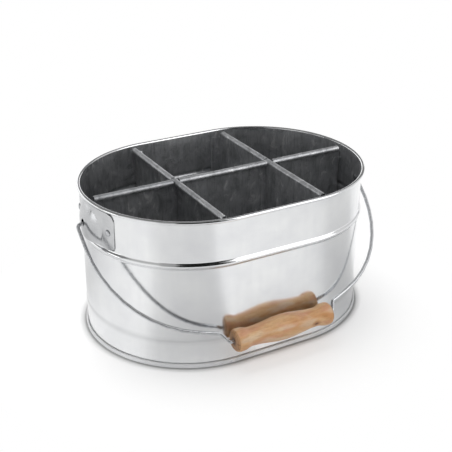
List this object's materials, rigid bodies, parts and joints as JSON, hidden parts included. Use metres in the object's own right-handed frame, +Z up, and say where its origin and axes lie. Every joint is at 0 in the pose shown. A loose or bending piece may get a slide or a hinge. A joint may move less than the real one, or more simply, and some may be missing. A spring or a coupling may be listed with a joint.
{
  "type": "utensil caddy",
  "caption": "Oval sheet-steel utensil caddy with rolled dividers, riveted ears and a swinging wire bail that carries a turned wooden grip.",
  "frame": {"origin": "bottom centre of the bounding box, on the table that the tub stands on; the tub's own middle is at y = +0.0093 m", "axes": "+Z up, +X along the tub towards its right end, -Y towards the side where the bail hangs"},
  "size_m": [0.2648, 0.1968, 0.128],
  "materials": {
    "tinned_sheet": "bright satin tinned steel sheet",
    "divider_sheet": "plain satin steel sheet with rolled edges",
    "pressed_sheet": "deep-pressed bright steel",
    "rivet_steel": "plated steel rivet",
    "bright_wire": "drawn and plated round wire",
    "turned_wood": "lathe-turned light hardwood, thinly oiled"
  },
  "bodies": {
    "tub": {"tub_wall": "tinned_sheet", "rim_wire": "bright_wire", "base_pan": "tinned_sheet", "long_divider": "divider_sheet", "front_left_divider": "divider_sheet", "front_right_divider": "divider_sheet", "rear_left_divider": "divider_sheet", "rear_right_divider": "divider_sheet", "left_ear": "pressed_sheet", "right_ear": "pressed_sheet", "left_ear_rivets": "rivet_steel", "right_ear_rivets": "rivet_steel"},
    "bail": {"bail_wire": "bright_wire"},
    "grip": {"wood_grip": "turned_wood"}
  },
  "joints": [
    {"name": "bail_swing", "type": "hinge", "parent": "tub", "child": "bail", "pos_m": [0, 0.0093, 0.1058], "axis": [-1, 0, 0], "range_deg": [0, 258.11]},
    {"name": "grip_spin", "type": "hinge", "parent": "bail", "child": "grip", "pos_m": [0, -0.088, 0.02685], "axis": [1, 0, 0], "continuous": true}
  ]
}
